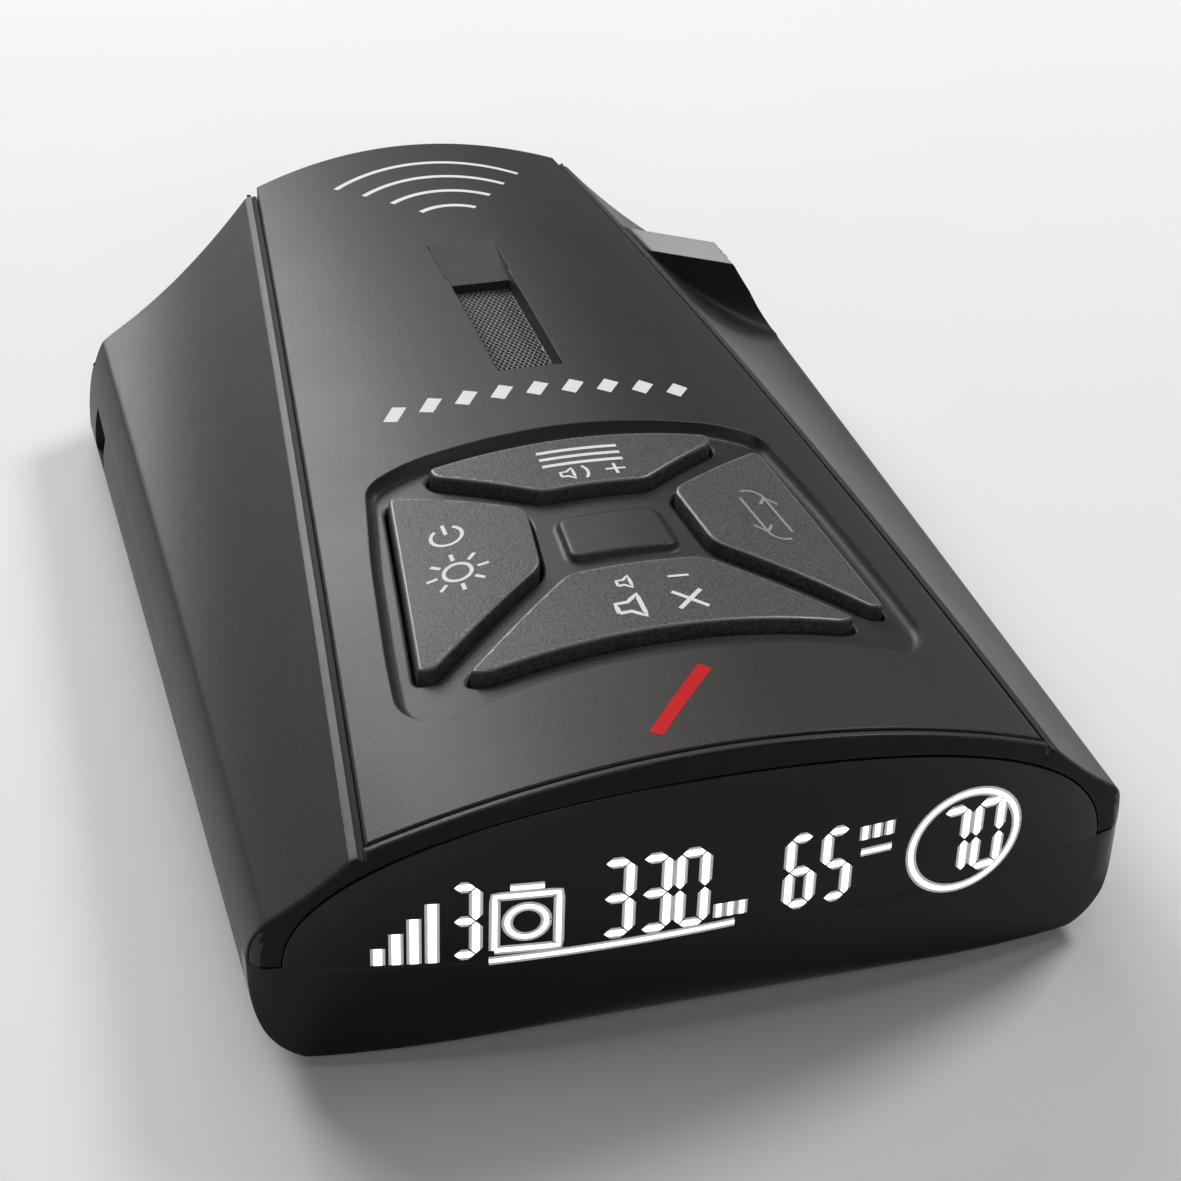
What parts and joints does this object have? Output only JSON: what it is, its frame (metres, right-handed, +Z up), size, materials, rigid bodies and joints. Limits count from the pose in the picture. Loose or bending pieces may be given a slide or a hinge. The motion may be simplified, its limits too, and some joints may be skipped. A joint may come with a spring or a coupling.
{
  "type": "radar detector",
  "caption": "Low tapering in-car radar detector with an arched smoked display face, a diamond pad of keys and a small speaker grille on top, and rubber feet beneath.",
  "frame": {"origin": "centre of the bounding box at the level the rubber feet stand on", "axes": "+X to the right seen from the display, +Y from the display towards the antenna end, +Z up"},
  "size_m": [0.0692, 0.1072, 0.0272],
  "materials": {
    "case": "fine satin moulded plastic, warm dark grey",
    "face": "polished smoked plastic",
    "key": "fine grained soft-touch rubber",
    "mesh": "pierced grey sheet",
    "board": "green solder mask on glass laminate",
    "chip": "black moulded plastic",
    "metal": "tinned and plated sheet steel",
    "brass": "plated brass",
    "ceramic": "unglazed ceramic",
    "glass": "dark tinted glass",
    "rubber": "soft black rubber",
    "amber": "amber plastic film",
    "label": "pale satin film"
  },
  "bodies": {
    "case": {"upper_shell": "case", "lower_shell": "case", "top_panel": "case", "face_lens": "face", "speaker_grille": "mesh", "switch_menu": "chip", "switch_power": "chip", "switch_mode": "chip", "switch_mute": "chip", "key_board": "board", "main_board": "board", "processor": "chip", "satellite_antenna": "ceramic", "board_connector": "label", "flex_strip": "amber", "receiver_shield": "metal", "antenna_horn": "metal", "laser_holder": "chip", "laser_sensor": "glass", "display_frame": "chip", "display_glass": "glass", "display_board": "board", "speaker_basket": "metal", "speaker_cone": "rubber", "speaker_magnet": "metal", "rear_window": "face", "power_jack": "chip", "jack_pin": "brass", "foot_1": "rubber", "foot_2": "rubber", "foot_3": "rubber", "foot_4": "rubber", "screw_1": "metal", "screw_2": "metal", "screw_3": "metal", "screw_4": "metal", "rating_plate": "label"},
    "key_menu": {"key_menu": "key"},
    "plunger_menu": {"plunger_menu": "amber"},
    "key_power": {"key_power": "key"},
    "plunger_power": {"plunger_power": "amber"},
    "key_mode": {"key_mode": "key"},
    "plunger_mode": {"plunger_mode": "amber"},
    "key_mute": {"key_mute": "key"},
    "plunger_mute": {"plunger_mute": "amber"}
  },
  "joints": [
    {"name": "press_menu", "type": "slide", "parent": "case", "child": "key_menu", "axis": [0, 0, -1], "range_m": [0, 0.0005], "stiffness_N_per_m": 800, "springref_m": -0.001},
    {"name": "plunge_menu", "type": "slide", "parent": "case", "child": "plunger_menu", "axis": [0, 0, -1], "range_m": [0, 0.0006]},
    {"name": "press_power", "type": "slide", "parent": "case", "child": "key_power", "axis": [0, 0, -1], "range_m": [0, 0.0005], "stiffness_N_per_m": 800, "springref_m": -0.001},
    {"name": "plunge_power", "type": "slide", "parent": "case", "child": "plunger_power", "axis": [0, 0, -1], "range_m": [0, 0.0006]},
    {"name": "press_mode", "type": "slide", "parent": "case", "child": "key_mode", "axis": [0, 0, -1], "range_m": [0, 0.0005], "stiffness_N_per_m": 800, "springref_m": -0.001},
    {"name": "plunge_mode", "type": "slide", "parent": "case", "child": "plunger_mode", "axis": [0, 0, -1], "range_m": [0, 0.0006]},
    {"name": "press_mute", "type": "slide", "parent": "case", "child": "key_mute", "axis": [0, 0, -1], "range_m": [0, 0.0005], "stiffness_N_per_m": 800, "springref_m": -0.001},
    {"name": "plunge_mute", "type": "slide", "parent": "case", "child": "plunger_mute", "axis": [0, 0, -1], "range_m": [0, 0.0006]}
  ],
  "couplings": [
    {"joint": "plunge_menu", "follows": "press_menu", "ratio": 1},
    {"joint": "plunge_power", "follows": "press_power", "ratio": 1},
    {"joint": "plunge_mode", "follows": "press_mode", "ratio": 1},
    {"joint": "plunge_mute", "follows": "press_mute", "ratio": 1}
  ]
}
